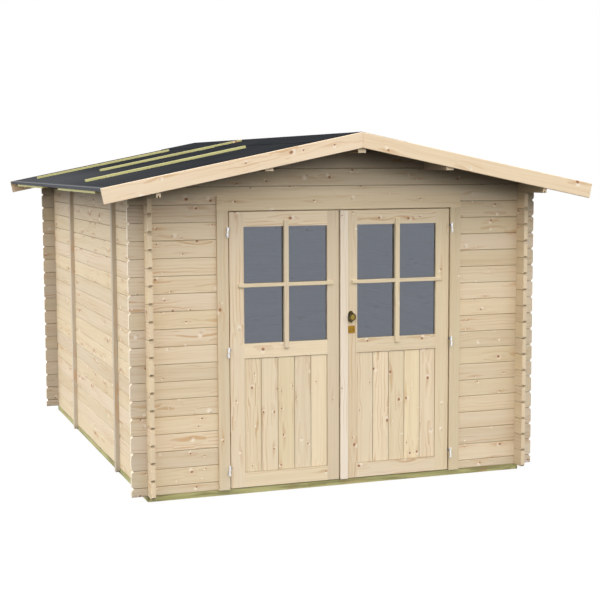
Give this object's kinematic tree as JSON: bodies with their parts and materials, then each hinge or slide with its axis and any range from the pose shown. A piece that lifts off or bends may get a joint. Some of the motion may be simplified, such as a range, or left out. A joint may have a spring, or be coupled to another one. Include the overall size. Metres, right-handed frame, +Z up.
{
  "type": "garden shed",
  "caption": "Log-built garden shed with crossed log corners, a low pitched felt roof with deep front overhang and a pair of half-glazed outward-opening doors.",
  "frame": {"origin": "centre of the roof outline in plan, at ground level under the bearers", "axes": "+Z up, -Y out of the doors, +X to the right when facing the doors"},
  "size_m": [3.386, 4.113, 2.3778],
  "materials": {
    "treated_timber": "matt treated softwood",
    "log_timber": "matt planed softwood",
    "purlin_timber": "matt planed softwood",
    "roof_board_timber": "matt planed softwood",
    "bargeboard_timber": "matt planed softwood",
    "brace_timber": "matt planed softwood",
    "door_timber": "matt planed softwood",
    "rail_timber": "matt planed softwood",
    "panel_timber": "matt planed softwood",
    "casing_timber": "matt planed softwood",
    "roof_felt": "matt mineral felt",
    "door_glass": "clear",
    "hinge_steel": "zinc plated",
    "knob_bronze": "dark bronze",
    "lock_brass": "satin brass"
  },
  "bodies": {
    "shed": {"left_bearer": "treated_timber", "right_bearer": "treated_timber", "front_bearer": "treated_timber", "back_bearer": "treated_timber", "left_wall": "log_timber", "right_wall": "log_timber", "left_eave_log": "log_timber", "right_eave_log": "log_timber", "front_wall_left": "log_timber", "front_wall_right": "log_timber", "back_wall": "log_timber", "front_gable": "log_timber", "back_gable": "log_timber", "ridge_purlin": "purlin_timber", "left_purlin": "purlin_timber", "right_purlin": "purlin_timber", "left_roof_boards": "roof_board_timber", "right_roof_boards": "roof_board_timber", "left_felt": "roof_felt", "right_felt": "roof_felt", "felt_battens": "treated_timber", "eave_battens": "treated_timber", "front_bargeboards": "bargeboard_timber", "back_bargeboards": "bargeboard_timber", "wall_braces": "brace_timber", "door_jambs": "door_timber", "door_head": "door_timber", "side_casings": "casing_timber", "head_casing": "casing_timber", "hinge_pins": "hinge_steel"},
    "left_door": {"left_door_stiles": "door_timber", "left_door_rails": "rail_timber", "left_door_panel": "panel_timber", "left_door_glass": "door_glass", "left_hinge_knuckles": "hinge_steel"},
    "right_door": {"right_door_stiles": "door_timber", "right_door_rails": "rail_timber", "right_door_panel": "panel_timber", "right_door_glass": "door_glass", "meeting_strip": "door_timber", "right_hinge_knuckles": "hinge_steel", "door_knob": "knob_bronze", "lock_plate": "lock_brass"}
  },
  "joints": [
    {"name": "left_door_hinge", "type": "hinge", "parent": "shed", "child": "left_door", "pos_m": [-0.804, -1.7145, 0.953], "axis": [0, 0, -1], "range_deg": [0, 150]},
    {"name": "right_door_hinge", "type": "hinge", "parent": "shed", "child": "right_door", "pos_m": [0.804, -1.7145, 0.953], "axis": [0, 0, 1], "range_deg": [0, 150]}
  ]
}
